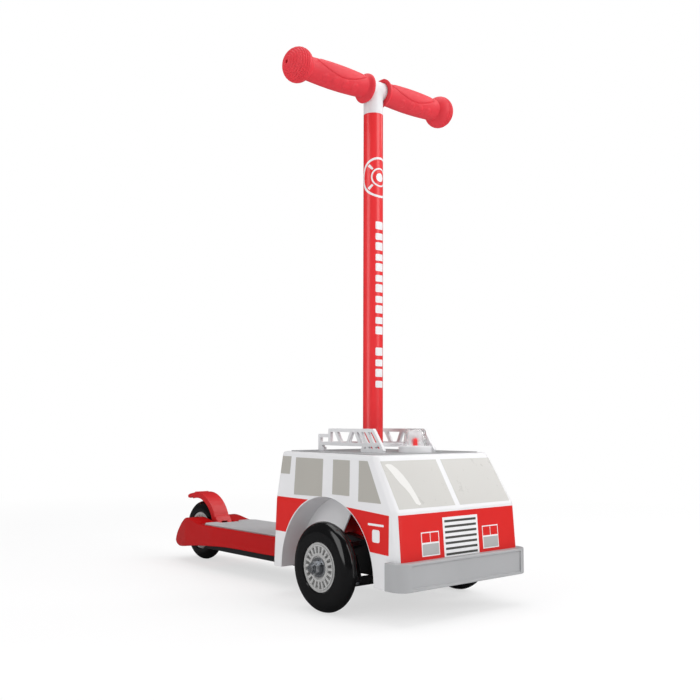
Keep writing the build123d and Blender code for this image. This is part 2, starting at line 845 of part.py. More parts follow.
def bumper():
    """Hollow-faced bumper that wraps the corners of the body."""
    front = at_front(-bumper_reach)
    back = front + bumper_depth
    body = block(
        -bumper_half_width, bumper_half_width, front, back, bumper_bottom_z, bumper_top_z
    )
    upright = body.edges().filter_by(Axis.Z).group_by(Axis.Y)[0]
    body = fillet(upright, bumper_corner_r)
    face_half = bumper_half_width - bumper_corner_r
    dish = block(
        -face_half, face_half, front - 1, front + bumper_dish,
        bumper_bottom_z + bumper_rim, bumper_top_z - bumper_rim,
    )
    return body - dish - shell_volume(0, shell_bottom_z)


def front_bracket():
    """Block that ties the truck to the inside of the body's front wall."""
    raw = block(-26, 26, at_front(-140), at_front(-50), 46, 62)
    raw -= block(-20, 20, at_front(-98), at_front(-58), 40, 58)
    return raw & shell_volume(shell_wall, shell_bottom_z)


def rear_bracket():
    """Angle that stands on the deck and holds the body's rear wall."""
    foot = block(-34, 34, at_front(shell_rear_low - 34), at_front(shell_rear_low - 1), deck_top_z, deck_top_z + 3)
    back = at_front(shell_rear_low)
    wall = block(-34, 34, back - 14, back + 4, deck_top_z, deck_top_z + 42)
    wall -= block(-24, 24, back - 36, back - 9, deck_top_z + 10, deck_top_z + 34)
    ribs = [
        side_prism(
            [
                (back - 32, deck_top_z + 2),
                (back - 12, deck_top_z + 2),
                (back - 12, deck_top_z + 30),
            ],
            1.5,
        )
    ]
    return (foot + wall + ribs) & shell_volume(shell_wall, shell_bottom_z)


# ============================================================ roof pieces
def bar_between(a, b):
    """Square bar of the ladder between two points in Y and Z."""
    length = math.dist(a, b)
    angle = math.degrees(math.atan2(b[1] - a[1], b[0] - a[0]))
    middle = Pos(0, (a[0] + b[0]) / 2, (a[1] + b[1]) / 2)
    return middle * Rot(angle, 0, 0) * Box(ladder_bar, length + 0.6 * ladder_bar, ladder_bar)


def ladder_rail():
    """One truss side of the ladder, in the plane X = 0."""
    half = ladder_bar / 2
    top = ladder_top_z - half
    low = ladder_low_z - half
    step = ladder_step_z - half
    foot = panel_top_z + half
    front = at_front(ladder_front)
    back = at_front(ladder_rail_back)
    step_back = at_front(ladder_step_back) - half
    foot_front = at_front(ladder_foot_front)
    pitch = 12.0
    bars = [
        ((front, top), (back, top)),
        ((back, top), (back, low)),
        ((front - 8, low), (step_back, low)),
        ((back, step), (step_back, step)),
        ((step_back, step), (step_back, foot)),
        ((step_back - 6, foot), (step_back - 1, low)),
        ((step_back - 8, foot), (step_back, foot)),
        ((foot_front, foot), (foot_front + 3 * pitch, foot)),
    ]
    for i in range(3):
        bars.append(((front + i * pitch, top), (foot_front + i * pitch, foot)))
    bars.append(((foot_front + 3 * pitch, foot), (foot_front + 2.6 * pitch, low)))
    for y_top, y_low in ((61, 50), (30, 38), (24, 14)):
        bars.append(((at_front(y_top), top), (at_front(y_low), low)))
    rail = bar_between(*bars[0])
    for a, b in bars[1:]:
        rail += bar_between(a, b)
    return rail & block(-20, 20, -900, 900, panel_top_z, 900)


def roof_ladder():
    """Two truss rails joined by rungs, clear of the column."""
    rail = ladder_rail()
    body = Pos(-ladder_x, 0, 0) * rail + Pos(ladder_x, 0, 0) * rail
    half = ladder_bar / 2
    for y in (-12.0, 6.0, 66.0, 86.0):
        place = Pos(0, at_front(y), ladder_low_z - half)
        body += place * Box(2 * ladder_x, ladder_bar, ladder_bar)
    return body


def beacon():
    """Lamp on the roof: base, clear dome, red lamp and its board."""
    place = Pos(0, at_front(beacon_behind), panel_top_z)
    base = Pos(0, 0, beacon_base_h / 2) * Cylinder(beacon_base_r, beacon_base_h)
    base = fillet(base.edges().group_by(Axis.Z)[-1], 1.2)
    base -= Pos(0, 0, beacon_base_h / 2 - 1.5) * Cylinder(board_r + 0.5, beacon_base_h - 1.5)
    base -= Pos(0, 0, beacon_base_h) * Cylinder(lamp_r + 0.3, 10)
    save(place * base, "beacon_base")
    board = Pos(0, 0, board_thickness / 2 + 1.0) * Cylinder(board_r, board_thickness)
    save(place * board, "beacon_board")
    lamp_z = board_thickness + 1.0
    height = beacon_base_h - lamp_z + lamp_height
    stem = Pos(0, 0, lamp_z + (height - lamp_r) / 2) * Cylinder(lamp_r, height - lamp_r)
    tip = Pos(0, 0, lamp_z + height - lamp_r) * Sphere(lamp_r)
    save(place * (stem + tip), "beacon_lamp")
    dome = Cone(dome_low_r, dome_top_r, dome_height)
    dome = fillet(dome.edges().group_by(Axis.Z)[-1], 3.5)
    hollow = Cone(dome_low_r - dome_wall, dome_top_r - dome_wall, dome_height - dome_wall)
    dome -= Pos(0, 0, -dome_wall / 2) * hollow
    save(place * Pos(0, 0, beacon_base_h + dome_height / 2) * dome, "beacon_dome")


def battery_pack():
    """Cell holder under the roof with its cover, two cells and a switch."""
    top = roof_z - shell_wall
    y0 = at_front(battery_behind) - battery_length / 2
    y1 = y0 + battery_length
    low = top - battery_height
    box = block(-battery_half_x, battery_half_x, y0, y1, low, top)
    w = battery_wall
    box -= block(
        -battery_half_x + w, battery_half_x - w, y0 + w, y1 - w, low - 1, top - w
    )
    save(box, "battery_box")
    save(block(-battery_half_x, battery_half_x, y0, y1, low - w, low), "battery_cover")
    cells = []
    for offset in (-1, 1):
        y = (y0 + y1) / 2 + offset * (cell_r + 0.4)
        cells.append(rod_x(cell_r, cell_length, 0, y, low + cell_r + 0.4))
    save(solids_of(cells), "battery_cells")
    wall_y = y1 + part_gap
    half = switch_knob / 2
    off_x = -switch_travel / 2
    knob = block(off_x - half, off_x + half, wall_y, wall_y + 3, low + 8, low + 12)
    save(knob, "switch_slider")
    frame_y = y1
    slot_half = half + switch_travel / 2 + part_gap
    guide = block(-9, 9, frame_y, frame_y + 2.4, low + 5, low + 15)
    guide -= block(
        -slot_half, slot_half, frame_y + 0.01, frame_y + 5, low + 8 - part_gap, low + 12 + part_gap
    )
    save(guide, "switch_body")


# ============================================================== all pieces
def main():
    deck_body = deck()
    save(deck_body, "deck")
    save(grip_mat(), "grip_mat")
    save(floor_pan(), "floor_pan")
    save(pan_screws(), "pan_screws")
    save(truck_housing(deck_body), "truck_housing")
    save(tie_rod(), "tie_rod")
    for side, word in ((-1, "right"), (1, "left")):
        link_gap = running_gap if side < 0 else link_open_gap
        save(kingpin(side), f"kingpin_{word}")
        save(knuckle(side, link_gap), f"knuckle_{word}")
        save(centring_spring(side), f"centring_spring_{word}")
        save(link_pin(side), f"link_pin_{word}")
        front_wheel(side, word)
    rear_wheel()
    save(brake_fender(), "brake_fender")
    save(rod_x(brake_pin_r, 2 * brake_pin_half(), 0, brake_y, brake_pivot_z), "brake_pin")
    save(brake_spring(), "brake_spring")
    column()
    handlebar()
    save(body_shell(), "body_shell")
    save(roof_panel(), "roof_panel")
    save(bumper(), "bumper")
    save(front_bracket(), "front_bracket")
    save(rear_bracket(), "rear_bracket")
    save(roof_ladder(), "roof_ladder")
    beacon()
    battery_pack()


main()
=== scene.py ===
import json
import math

import bmesh
import bpy
from mathutils import Matrix, Vector
from mathutils.bvhtree import BVHTree
from mathutils.geometry import delaunay_2d_cdt

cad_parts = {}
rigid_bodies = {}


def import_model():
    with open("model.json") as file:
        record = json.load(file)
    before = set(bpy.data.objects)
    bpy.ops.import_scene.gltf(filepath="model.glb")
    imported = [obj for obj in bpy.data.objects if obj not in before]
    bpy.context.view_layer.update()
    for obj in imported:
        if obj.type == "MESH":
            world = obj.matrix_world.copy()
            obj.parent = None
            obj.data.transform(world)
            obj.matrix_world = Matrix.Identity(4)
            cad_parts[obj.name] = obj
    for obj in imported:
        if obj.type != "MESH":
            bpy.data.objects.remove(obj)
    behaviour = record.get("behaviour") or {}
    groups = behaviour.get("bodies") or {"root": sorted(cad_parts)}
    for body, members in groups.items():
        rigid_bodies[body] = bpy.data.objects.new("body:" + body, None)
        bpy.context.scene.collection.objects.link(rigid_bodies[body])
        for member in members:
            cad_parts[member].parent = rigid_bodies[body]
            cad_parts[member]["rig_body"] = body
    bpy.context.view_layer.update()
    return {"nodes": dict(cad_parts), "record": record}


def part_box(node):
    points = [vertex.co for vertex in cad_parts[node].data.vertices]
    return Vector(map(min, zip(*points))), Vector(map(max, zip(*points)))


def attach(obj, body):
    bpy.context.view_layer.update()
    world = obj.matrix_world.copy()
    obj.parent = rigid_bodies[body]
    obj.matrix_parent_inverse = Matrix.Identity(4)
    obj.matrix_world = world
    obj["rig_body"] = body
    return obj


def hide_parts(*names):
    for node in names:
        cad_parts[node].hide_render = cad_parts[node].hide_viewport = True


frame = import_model()
scene = bpy.context.scene

# ------------------------------------------------------------------ the studio
# A pale floor that fades into a plain pale surround, four soft boxes, and the
# camera, which stands low in front of the rider's right corner.
eye = Vector((-0.76867, -0.97055, 0.21429))
yaw = math.radians(41.2124)
pitch = math.radians(4.67)
roll = math.radians(0.191)
ahead = Vector((math.sin(yaw) * math.cos(pitch), math.cos(yaw) * math.cos(pitch), math.sin(pitch)))
level = Vector((math.cos(yaw), -math.sin(yaw), 0.0))
upward = level.cross(ahead)
right = level * math.cos(roll) + upward * math.sin(roll)
upward = upward * math.cos(roll) - level * math.sin(roll)
camera = bpy.data.objects.new("camera", bpy.data.cameras.new("camera"))
camera.matrix_world = Matrix((
    (right.x, upward.x, -ahead.x, eye.x),
    (right.y, upward.y, -ahead.y, eye.y),
    (right.z, upward.z, -ahead.z, eye.z),
    (0.0, 0.0, 0.0, 1.0),
))
camera.data.sensor_width = 36.0
camera.data.lens = 45.753
camera.data.clip_start = 0.05
scene.collection.objects.link(camera)
scene.camera = camera
scene.view_settings.view_transform = "Standard"
scene.view_settings.look = "None"

pale = (1.0, 1.0, 1.0, 1.0)
# How strongly the surround lights the scooter, and how strongly gloss mirrors it.
surround_level, mirrored_level = 0.46, 0.05


def node_of(tree, kind, **values):
    """Adds one shader node and sets its properties."""
    made = tree.nodes.new(kind)
    for key, value in values.items():
        setattr(made, key, value)
    return made


def wire(tree, *pairs):
    """Joins shader sockets, each pair an output and the input that it feeds."""
    for source, target in pairs:
        tree.links.new(source, target)


world = bpy.data.worlds.new("surround")
scene.world = world
world.use_nodes = True
tree = world.node_tree
tree.nodes.clear()
seen = node_of(tree, "ShaderNodeBackground")
seen.inputs["Color"].default_value = pale
lit = node_of(tree, "ShaderNodeBackground")
lit.inputs["Color"].default_value = pale
path = node_of(tree, "ShaderNodeLightPath")
level_of = node_of(tree, "ShaderNodeMapRange")
level_of.inputs["To Min"].default_value = surround_level
level_of.inputs["To Max"].default_value = mirrored_level
wire(
    tree, (path.outputs["Is Glossy Ray"], level_of.inputs["Value"]),
    (level_of.outputs["Result"], lit.inputs["Strength"]),
)
both = node_of(tree, "ShaderNodeMixShader")
out = node_of(tree, "ShaderNodeOutputWorld")
shown = node_of(tree, "ShaderNodeMath", operation="MAXIMUM")
wire(
    tree, (path.outputs["Is Camera Ray"], shown.inputs[0]),
    (path.outputs["Is Transmission Ray"], shown.inputs[1]), (shown.outputs[0], both.inputs["Fac"]),
    (lit.outputs[0], both.inputs[1]), (seen.outputs[0], both.inputs[2]),
    (both.outputs[0], out.inputs["Surface"]),
)

# Near the scooter the floor is partly matt and lit and partly a painted glow, seen only by the camera, that
# lightens its cast shadow; further out it glows evenly.
floor_radius, fade_start, fade_end, painted_glow_near = 30.0, 0.55, 1.6, 0.62
floor_paint_colour, mirrored_colour = (0.9, 0.9, 0.905, 1.0), (0.12, 0.12, 0.122, 1.0)
floor_mesh = bpy.data.meshes.new("floor")
bm = bmesh.new()
bmesh.ops.create_circle(bm, cap_ends=True, segments=96, radius=floor_radius)
bm.to_mesh(floor_mesh)
bm.free()
floor = bpy.data.objects.new("floor", floor_mesh)
scene.collection.objects.link(floor)
floor_paint = bpy.data.materials.new("floor_paint")
floor_paint.use_nodes = True
tree = floor_paint.node_tree
tree.nodes.clear()
place = node_of(tree, "ShaderNodeTexCoord")
reach = node_of(tree, "ShaderNodeVectorMath", operation="LENGTH")
fade = node_of(tree, "ShaderNodeMapRange", interpolation_type="SMOOTHSTEP")
fade.inputs["From Min"].default_value = fade_start
fade.inputs["From Max"].default_value = fade_end
# Painted glow: near the scooter the camera sees at least this share of flat white, which lightens the
# floor's cast shadow.
fade.inputs["To Min"].default_value = painted_glow_near
matt = node_of(tree, "ShaderNodeBsdfDiffuse")
matt.inputs["Color"].default_value = floor_paint_colour
glow = node_of(tree, "ShaderNodeEmission")
glow.inputs["Color"].default_value = pale
both = node_of(tree, "ShaderNodeMixShader")
out = node_of(tree, "ShaderNodeOutputMaterial")
path = node_of(tree, "ShaderNodeLightPath")
shown = node_of(tree, "ShaderNodeMath", operation="MAXIMUM")
share = node_of(tree, "ShaderNodeMath", operation="MULTIPLY")
dim = node_of(tree, "ShaderNodeMixShader")
dark = node_of(tree, "ShaderNodeBsdfDiffuse")
dark.inputs["Color"].default_value = mirrored_colour
wire(
    tree, (path.outputs["Is Camera Ray"], shown.inputs[0]),
    (path.outputs["Is Transmission Ray"], shown.inputs[1]),
    (place.outputs["Object"], reach.inputs[0]), (reach.outputs["Value"], fade.inputs["Value"]),
    (fade.outputs["Result"], share.inputs[0]), (shown.outputs[0], share.inputs[1]),
    (share.outputs[0], both.inputs["Fac"]), (path.outputs["Is Glossy Ray"], dim.inputs["Fac"]),
    (matt.outputs[0], dim.inputs[1]), (dark.outputs[0], dim.inputs[2]),
    (dim.outputs[0], both.inputs[1]), (glow.outputs[0], both.inputs[2]),
    (both.outputs[0], out.inputs["Surface"]),
)
floor_mesh.materials.append(floor_paint)


def soft_box(name, where, target, width, height, power):
    """A rectangular soft light that looks at a target."""
    data = bpy.data.lights.new(name, "AREA")
    data.shape = "RECTANGLE"
    data.size = width
    data.size_y = height
    data.energy = power
    made = bpy.data.objects.new(name, data)
    made.location = where
    made.rotation_mode = "QUATERNION"
    made.rotation_quaternion = (Vector(target) - Vector(where)).to_track_quat("-Z", "Y")
    scene.collection.objects.link(made)


soft_box("front_box", (0.75, -2.3, 1.5), (0.0, -0.1, 0.25), 1.5, 2.2, 30.0)
soft_box("side_box", (-2.5, 0.35, 1.1), (0.0, 0.0, 0.25), 1.5, 2.2, 22.0)
soft_box("far_box", (1.8, -0.7, 1.9), (0.0, -0.1, 0.1), 0.8, 1.5, 12.0)
soft_box("top_box", (0.2, 0.2, 2.6), (0.0, 0.0, 0.2), 2.2, 2.2, 26.0)

# -------------------------------------------------------------- the foot board
# One deep-red gloss moulding: a hollow board with ears round the rear wheel, a
# nose over the front truck and a socket for the column.
mm = 0.001


def finish_of(name, colour, rough, peel=0.0, peel_scale=260.0, grain=0.0, grain_scale=2600.0,
              mottle=0.02, metal=0.0, coat=0.0, scuff=0.05):
    """A moulded or painted finish: cloudy colour, uneven gloss, peel and grain in mm."""
    cloud_scale, rub_scale, noise_low, noise_high = 14.0, 75.0, 0.3, 0.7
    made = bpy.data.materials.new(name)
    made.use_nodes = True
    tree = made.node_tree
    skin = tree.nodes["Principled BSDF"]
    skin.inputs["Metallic"].default_value = metal
    skin.inputs["Coat Weight"].default_value = coat
    skin.inputs["Coat Roughness"].default_value = 0.06
    place = node_of(tree, "ShaderNodeTexCoord")
    cloud = node_of(tree, "ShaderNodeTexNoise")
    cloud.inputs["Scale"].default_value = cloud_scale
    cloud.inputs["Detail"].default_value = 4.0
    tint = node_of(tree, "ShaderNodeValToRGB")
    tint.color_ramp.elements[0].position = noise_low
    tint.color_ramp.elements[1].position = noise_high
    tint.color_ramp.elements[0].color = [c * (1.0 - mottle) for c in colour] + [1.0]
    tint.color_ramp.elements[1].color = [min(1.0, c * (1.0 + mottle)) for c in colour] + [1.0]
    rub = node_of(tree, "ShaderNodeTexNoise")
    rub.inputs["Scale"].default_value = rub_scale
    rub.inputs["Detail"].default_value = 8.0
    rub.inputs["Roughness"].default_value = 0.65
    gloss = node_of(tree, "ShaderNodeMapRange")
    gloss.inputs["From Min"].default_value = noise_low
    gloss.inputs["From Max"].default_value = noise_high
    gloss.inputs["To Min"].default_value = max(0.02, rough - scuff / 2)
    gloss.inputs["To Max"].default_value = min(1.0, rough + scuff)
    wire(
        tree, (place.outputs["Object"], cloud.inputs["Vector"]), (cloud.outputs["Fac"], tint.inputs["Fac"]),
        (tint.outputs["Color"], skin.inputs["Base Color"]), (place.outputs["Object"], rub.inputs["Vector"]),
        (rub.outputs["Fac"], gloss.inputs["Value"]), (gloss.outputs["Result"], skin.inputs["Roughness"]),
    )
    under = None
    for depth, size in ((peel, peel_scale), (grain, grain_scale)):
        if depth:
            wave = node_of(tree, "ShaderNodeTexNoise")
            wave.inputs["Scale"].default_value = size
            wave.inputs["Detail"].default_value = 2.0
            bump = node_of(tree, "ShaderNodeBump")
            bump.inputs["Strength"].default_value = 1.0
            bump.inputs["Distance"].default_value = depth * mm
            wire(
                tree, (place.outputs["Object"], wave.inputs["Vector"]),
                (wave.outputs["Fac"], bump.inputs["Height"]),
            )
            if under:
                wire(tree, (under.outputs["Normal"], bump.inputs["Normal"]))
            under = bump
    if under:
        wire(tree, (under.outputs["Normal"], skin.inputs["Normal"]))
    return made


def settle(mesh, angle=38.0):
    """Smooth faces that stay crisp past an angle."""
    if mesh.attributes.get("custom_normal"):
        mesh.attributes.remove(mesh.attributes["custom_normal"])
    mesh.shade_smooth()
    mesh.set_sharp_from_angle(angle=math.radians(angle))


def place_piece(piece, mesh, material, body, nodes=(), weighted=True):
    """Links a mesh as a piece that rides on a body and stands for CAD nodes."""
    mesh.materials.clear()
    mesh.materials.append(material)
    made = bpy.data.objects.new(piece, mesh)
    scene.collection.objects.link(made)
    if weighted:
        even = made.modifiers.new("even", "WEIGHTED_NORMAL")
        even.keep_sharp = True
        even.weight = 90
    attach(made, body)
    if nodes:
        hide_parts(*nodes)
    return made


def rounded(node, width, steps=3, angle=26.0, fine=False):
    """A mesh like a CAD node's, with its sharp edges broken by a round of this width in mm."""
    same_place, flat_angle = 2e-6, 0.35
    bm = bmesh.new()
    bm.from_mesh(frame["nodes"][node].data)
    bmesh.ops.remove_doubles(bm, verts=bm.verts, dist=same_place)
    bmesh.ops.dissolve_limit(
        bm, angle_limit=math.radians(flat_angle), verts=bm.verts, edges=bm.edges,
        use_dissolve_boundaries=False, delimit=set(),
    )
    sharp = [
        e for e in bm.edges
        if len(e.link_faces) == 2 and e.calc_face_angle(0.0) > math.radians(angle)
    ]
    bmesh.ops.bevel(
        bm, geom=sharp, offset=width * mm, offset_type="OFFSET", segments=steps,
        profile=0.5, affect="EDGES", clamp_overlap=fine, material=-1,
    )
    bmesh.ops.remove_doubles(bm, verts=bm.verts, dist=same_place / 2)
    bmesh.ops.triangulate(bm, faces=bm.faces)
    mesh = bpy.data.meshes.new(node)
    bm.to_mesh(mesh)
    bm.free()
    settle(mesh)
    return mesh


def body_of(node):
    """The body that a CAD node rides on."""
    return frame["nodes"][node]["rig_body"]


deep_red = finish_of("deep_red_gloss", (0.47, 0.004, 0.005), 0.2, peel=0.006, mottle=0.04)
place_piece("foot_board", rounded("deck", 1.6), deep_red, "scooter_frame", ["deck"])

# ---------------------------------------------------------------- the grip mat
# A light grey rubber mat let into the board, with cross grooves and a leathery
# grain from the mould.
mat_grey = finish_of(
    "mat_grey_rubber", (0.42, 0.42, 0.43), 0.62, grain=0.06, grain_scale=1500.0, mottle=0.05,
)
place_piece(
    "grip_mat_rubber", rounded("grip_mat", 0.35, 2), mat_grey, "scooter_frame", ["grip_mat"],
)

# -------------------------------------------- the black mouldings underneath
# Glass-filled nylon with a fine spark texture from the tool: the floor pan, the
# truck housing, knuckles and tie rod, the two brackets, the rear wheel's spacers
# and axle keepers, and the cell holder with its cover and switch.
black_nylon = finish_of(
    "black_nylon", (0.014, 0.014, 0.016), 0.34, grain=0.02, grain_scale=1800.0, mottle=0.12,
)
for node, width in (
    ("floor_pan", 0.8), ("truck_housing", 1.0), ("front_bracket", 0.5), ("rear_bracket", 0.5),
    ("rear_axle_keepers", 0.3), ("rear_side_spacers", 0.2), ("battery_box", 0.4),
    ("battery_cover", 0.3), ("switch_body", 0.2), ("tie_rod", 0.5),
    ("knuckle_right", 0.5), ("knuckle_left", 0.5),
):
    place_piece(
        node + "_moulding", rounded(node, width), black_nylon, body_of(node), [node],
    )

# ------------------------------------------------------------ pins and springs
# Zinc-plated steel: turned axles, kingpins, rivets and screws, with springs of
# oiled wire.
zinc = finish_of(
    "zinc_plate", (0.62, 0.64, 0.67), 0.26, grain=0.004, grain_scale=4000.0, mottle=0.08, metal=1.0,
)
oiled = finish_of(
    "oiled_wire", (0.3, 0.31, 0.33), 0.32, grain=0.004, grain_scale=4000.0, mottle=0.1, metal=1.0,
)


def coat_node(node, material):
    """Gives a CAD node that is shown as it is its finish."""
    thing = frame["nodes"][node]
    thing.data.materials.clear()
    thing.data.materials.append(material)


slots = {part["node"]: part["material_slot"] for part in frame["record"]["subparts"]}
for node in frame["nodes"]:
    if slots.get(node) == "zinc_steel":
        coat_node(node, zinc)
    elif slots.get(node) == "spring_steel":
        coat_node(node, oiled)

# ------------------------------------------------------------------ the wheels
# Black cast urethane tyres, polished by the mould, with a parting line round the
# tread. Each is cast onto a grey hub with slots round it and a pressed-in bearing
# pocket on both faces.
seat_r, tyre_half, hub_half = 27.9, 10.0, 10.3
tyre_black = finish_of(
    "tyre_black_gloss", (0.005, 0.005, 0.0055), 0.12, peel=0.004, peel_scale=120.0, mottle=0.1, coat=0.15,
)


def about_axle(x, r, turn):
    """A place in metres, from mm along the axle and mm out from it."""
    return (x * mm, r * mm * math.cos(turn), r * mm * math.sin(turn))


def closed_mesh(bm, name):
    """Turns every face outward and makes the mesh."""
    bmesh.ops.recalc_face_normals(bm, faces=bm.faces)
    mesh = bpy.data.meshes.new(name)
    bm.to_mesh(mesh)
    bm.free()
    return mesh


def turned(name, outline, steps):
    """A body of revolution about X from a closed outline of (x, radius) in mm."""
    bm = bmesh.new()
    rings = []
    for i in range(steps):
        turn = 2 * math.pi * i / steps
        rings.append([bm.verts.new(about_axle(x, r, turn)) for x, r in outline])
    count = len(outline)
    for i in range(steps):
        here, there = rings[i], rings[(i + 1) % steps]
        for k in range(count):
            n = (k + 1) % count
            bm.faces.new((here[k], here[n], there[n], there[k]))
    return closed_mesh(bm, name)


def tyre_outline(radius, seat, half):
    """Section of a tyre: a full round crown with a small parting line."""
    crown, power, steps = 13.0, 2.0 / 2.15, 16
    line_foot, line_top, line_tall = 0.45, 0.3, 0.12
    bead, bead_low, bead_high = 0.8, 0.5, 1.4
    points = []
    for i in range(steps + 1):
        turn = math.pi / 2 * 0.97 * i / steps
        points.append((half * math.cos(turn) ** power, radius - crown + crown * math.sin(turn) ** power))
    shoulder = list(reversed(points))
    points += [(line_foot, radius), (line_top, radius + line_tall)]
    points += [(-line_top, radius + line_tall), (-line_foot, radius)]
    points += [(-x, r) for x, r in shoulder]
    points += [(-half, seat + bead_high), (-half + bead, seat + bead_low), (-half + bead, seat)]
    points += [(half - bead, seat), (half - bead, seat + bead_low), (half, seat + bead_high)]
    return points


hub_grey = finish_of("hub_grey", (0.47, 0.47, 0.465), 0.38, grain=0.01, grain_scale=2200.0, mottle=0.05)


def wheel_middle(node):
    """The middle of a tyre's box."""
    low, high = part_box(node)
    return (low + high) / 2


def skin_between(bm, rows):
    """Faces between closed rings of points, each ring joined to the next."""
    for a, b in zip(rows, rows[1:]):
        for i in range(len(a)):
            n = (i + 1) % len(a)
            bm.faces.new((a[i], a[n], b[n], b[i]))


def hub_mesh(name, half):
    """Moulded hub: a rim, twenty radial slots, a ring and a bearing pocket on both faces."""
    slot_count, slot_start, slot_end, slot_deep = 20, 0.27, 0.73, 4.2
    bore_r, bore_back = 4.2, 1.6
    across = [0.0, 0.22, slot_start, slot_end, 0.78]
    turns = [(i + a) / slot_count * 2 * math.pi for i in range(slot_count) for a in across]
    in_slot = [a in (slot_start, slot_end) for i in range(slot_count) for a in across]
    # Each ring from the bearing out: its radius, its face, and whether the slots cut it.
    levels = [
        (11.0, half - 2.2, False), (11.3, half - 1.9, False), (12.6, half - 1.9, False),
        (13.0, half - 0.3, False), (13.4, half, False), (15.2, half, False), (15.7, half - 0.5, False),
        (16.2, half - 0.9, False), (16.6, half - 0.9, True), (23.2, half - 0.9, True),
        (23.6, half - 0.9, False), (23.9, half - 0.7, False), (24.2, half, False),
        (25.1, half, False), (25.4, half - 0.3, False), (25.4, half - 1.5, False),
        (seat_r, half - 1.8, False), (seat_r, 0.0, False),
    ]
    bm = bmesh.new()
    for face in (1, -1):
        rows = []
        for r, x, cut in levels:
            row = []
            for turn, hollow in zip(turns, in_slot):
                deep = x - slot_deep if (cut and hollow) else x
                row.append(bm.verts.new(about_axle(face * deep, r, turn)))
            rows.append(row)
        skin_between(bm, rows)
        bore = [bm.verts.new(about_axle(face * (half - bore_back), bore_r, turn)) for turn in turns]
        skin_between(bm, [bore, rows[0]])
    bmesh.ops.remove_doubles(bm, verts=bm.verts, dist=1e-6)
    return closed_mesh(bm, name)


for name, radius, body in (
    ("front_right", 50.8, "front_wheel_right"), ("front_left", 50.8, "front_wheel_left"),
    ("rear", 45.0, "rear_wheel"),
):
    middle = wheel_middle(name + "_tyre")
    mesh = turned(name + "_cast_tyre", tyre_outline(radius, seat_r, tyre_half), 144)
    mesh.transform(Matrix.Translation(middle))
    settle(mesh)
    place_piece(
        name + "_cast_tyre", mesh, tyre_black, body, [name + "_tyre"], weighted=False,
    )
    mesh = hub_mesh(name + "_moulded_hub", hub_half)
    mesh.transform(Matrix.Translation(middle))
    settle(mesh, 30.0)
    place_piece(name + "_moulded_hub", mesh, hub_grey, body, [name + "_hub"])

# ------------------------------------------------------------------- the brake
# A tough red polypropylene guard that the rider steps on, a little duller than
# the board. It is hung on a pin ahead of the wheel, and a coil lifts it.
guard_red = finish_of("guard_red", (0.56, 0.008, 0.011), 0.36, grain=0.015, grain_scale=1500.0, mottle=0.05)
place_piece(
    "brake_guard", rounded("brake_fender", 1.1), guard_red, "brake", ["brake_fender"],
)

# ------------------------------------------------------------------ the column
# Steel tube in gloss red stoving paint, bolted in the board's socket. A ringed
# wheel mark and a row of bars are screen-printed in white down its front.
tube_red = finish_of(
    "tube_red_paint", (0.84, 0.028, 0.034), 0.3, peel=0.004, peel_scale=320.0, mottle=0.02, coat=0.2,
)
coat_node("column_tube", tube_red)
low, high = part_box("column_tube")
column_axis = Vector(((low.x + high.x) / 2, (low.y + high.y) / 2, 0.0))
column_radius = (high.x - low.x) / 2 / mm
print_white = finish_of(
    "print_white", (0.86, 0.86, 0.87), 0.3, grain=0.004, grain_scale=3000.0, mottle=0.02,
)
print_gap, print_thick, print_step = 0.01, 0.06, 1.2


def split_loop(loop, spacing):
    """The same closed outline with no edge longer than the spacing."""
    made = []
    for (u0, v0), (u1, v1) in zip(loop, list(loop[1:]) + [loop[0]]):
        n = max(1, math.ceil(math.hypot(u1 - u0, v1 - v0) / spacing))
        made += [(u0 + (u1 - u0) * i / n, v0 + (v1 - v0) * i / n) for i in range(n)]
    return made


def inside(u, v, loop):
    """Whether a point lies in a closed outline."""
    hit = False
    for (u0, v0), (u1, v1) in zip(loop, list(loop[1:]) + [loop[0]]):
        if (v0 > v) != (v1 > v) and u < (u1 - u0) * (v - v0) / (v1 - v0) + u0:
            hit = not hit
    return hit


def filled(outline, holes=(), spacing=3.0):
    """Triangles over a flat outline in mm, close enough together to be bent."""
    least_gap, tiny = 0.35, 1e-4
    outline = split_loop(outline, spacing)
    holes = [split_loop(hole, spacing) for hole in holes]
    points = [Vector(p) for p in outline]
    edges = [(i, (i + 1) % len(points)) for i in range(len(points))]
    for hole in holes:
        start = len(points)
        points += [Vector(p) for p in hole]
        edges += [(start + i, start + (i + 1) % len(hole)) for i in range(len(hole))]
    us = [p.x for p in points]
    vs = [p.y for p in points]
    inner = []
    nu = max(1, int((max(us) - min(us)) / spacing))
    nv = max(1, int((max(vs) - min(vs)) / spacing))
    for i in range(1, nu):
        for k in range(1, nv):
            u = min(us) + (max(us) - min(us)) * i / nu
            v = min(vs) + (max(vs) - min(vs)) * k / nv
            near = min((u - p.x) ** 2 + (v - p.y) ** 2 for p in points)
            if near > (least_gap * spacing) ** 2:
                inner.append(Vector((u, v)))
    found = delaunay_2d_cdt(points + inner, edges, [], 0, tiny)
    verts, faces = found[0], found[2]
    kept = []
    for f in faces:
        cu = sum(verts[i].x for i in f) / len(f)
        cv = sum(verts[i].y for i in f) / len(f)
        if inside(cu, cv, outline) and not any(inside(cu, cv, hole) for hole in holes):
            kept.append(f)
    return verts, kept


